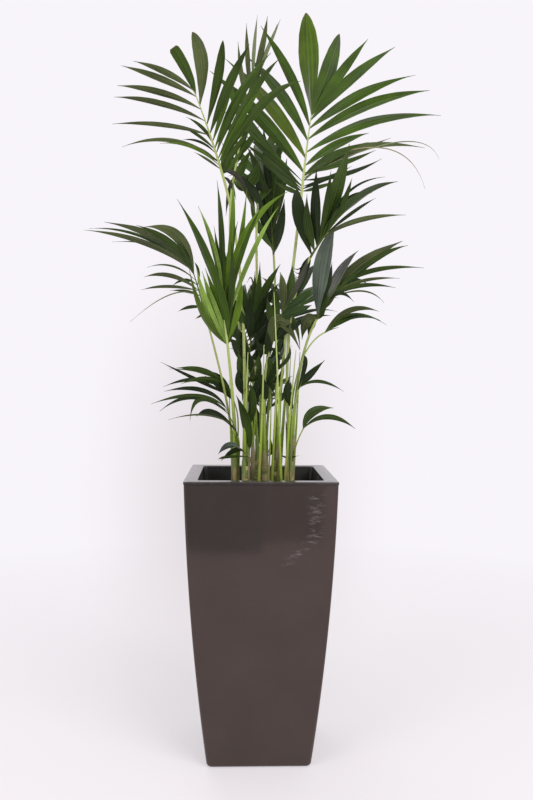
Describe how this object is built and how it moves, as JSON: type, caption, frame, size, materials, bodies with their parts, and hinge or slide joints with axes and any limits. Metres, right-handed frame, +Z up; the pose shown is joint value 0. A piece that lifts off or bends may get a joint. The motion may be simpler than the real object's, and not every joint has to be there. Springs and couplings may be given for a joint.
{
  "type": "potted kentia palm",
  "caption": "Kentia palm with slender ringed stems, long arching stalks and feathered fronds, standing in a tall square tapered gloss planter with a flat-rimmed liner.",
  "frame": {"origin": "middle of the planter's flat underside, on the floor", "axes": "+Z up the plant, -Y towards the planter's front, +X to the right as seen from the front"},
  "size_m": [1.0522, 0.8418, 2.1715],
  "materials": {
    "planter_gloss": "gloss",
    "liner_gloss": "gloss",
    "soil": "matte",
    "stem_skin": "matte",
    "stalk_green": "satin",
    "leaf_green": "satin",
    "leaf_bright": "satin"
  },
  "bodies": {
    "root": {"frond_back_high": "leaf_green", "frond_back_left": "leaf_green", "frond_back_low": "leaf_green", "frond_back_right": "leaf_green", "frond_centre_back": "leaf_green", "frond_centre_dark": "leaf_green", "frond_centre_front": "leaf_green", "frond_front_bright": "leaf_bright", "frond_low_left": "leaf_green", "frond_low_left_front": "leaf_green", "frond_low_right": "leaf_green", "frond_low_small": "leaf_green", "frond_mid_left": "leaf_green", "frond_mid_right": "leaf_green", "frond_right": "leaf_green", "frond_right_low": "leaf_green", "frond_sprig": "leaf_green", "frond_top_back": "leaf_green", "frond_top_left": "leaf_green", "frond_top_right": "leaf_green", "liner": "liner_gloss", "planter": "planter_gloss", "soil": "soil", "stalk_back_high": "stalk_green", "stalk_back_left": "stalk_green", "stalk_back_low": "stalk_green", "stalk_back_right": "stalk_green", "stalk_centre_back": "stalk_green", "stalk_centre_dark": "stalk_green", "stalk_centre_front": "stalk_green", "stalk_front_bright": "stalk_green", "stalk_low_left": "stalk_green", "stalk_low_left_front": "stalk_green", "stalk_low_right": "stalk_green", "stalk_low_small": "stalk_green", "stalk_mid_left": "stalk_green", "stalk_mid_right": "stalk_green", "stalk_right": "stalk_green", "stalk_right_low": "stalk_green", "stalk_sprig": "stalk_green", "stalk_top_back": "stalk_green", "stalk_top_left": "stalk_green", "stalk_top_right": "stalk_green", "stem_back": "stem_skin", "stem_far_back": "stem_skin", "stem_front": "stem_skin", "stem_left": "stem_skin", "stem_left_inner": "stem_skin", "stem_right": "stem_skin", "stem_right_inner": "stem_skin"}
  },
  "joints": []
}
